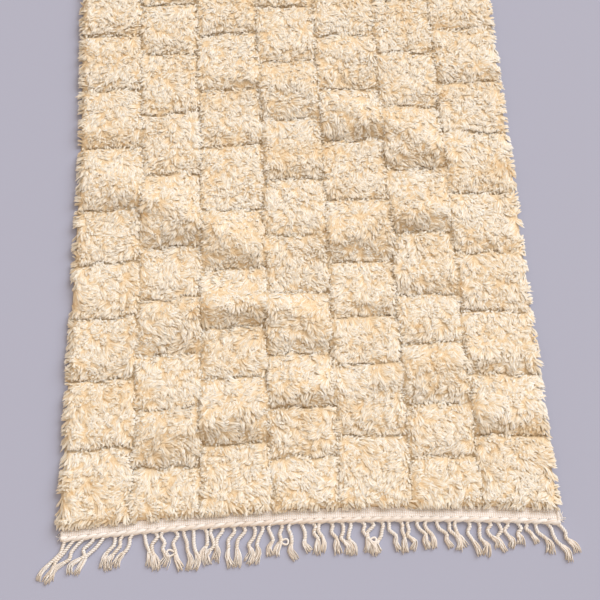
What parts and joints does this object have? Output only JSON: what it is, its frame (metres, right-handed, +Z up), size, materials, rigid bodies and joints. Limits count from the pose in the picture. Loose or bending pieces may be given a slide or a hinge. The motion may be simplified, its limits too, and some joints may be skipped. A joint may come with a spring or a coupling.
{
  "type": "hand-knotted wool pile rug",
  "caption": "Rectangular knotted wool rug, thick ivory pile carved into staggered squares, with flat-woven headings and twisted fringe at both ends, lying flat.",
  "frame": {"origin": "centre of the rug's footprint, on the floor it lies on", "axes": "+Z up; +X across the width, to the right; +Y along the length, away from the near fringe"},
  "size_m": [1.0871, 1.741, 0.038],
  "materials": {
    "wool_pile": "warm ivory wool, matt, long cut pile in clumped locks",
    "flat_weave": "natural wool, tight flat weave, matt",
    "twined_wool": "natural wool cord, twined, matt",
    "warp_fringe": "natural wool warps, twisted in two plies, loose at the ends"
  },
  "bodies": {
    "root": {"pile_field": "wool_pile", "heading_near": "flat_weave", "heading_far": "flat_weave", "twined_edge_near": "twined_wool", "twined_edge_far": "twined_wool", "fringe_near": "warp_fringe", "fringe_far": "warp_fringe"}
  },
  "joints": []
}
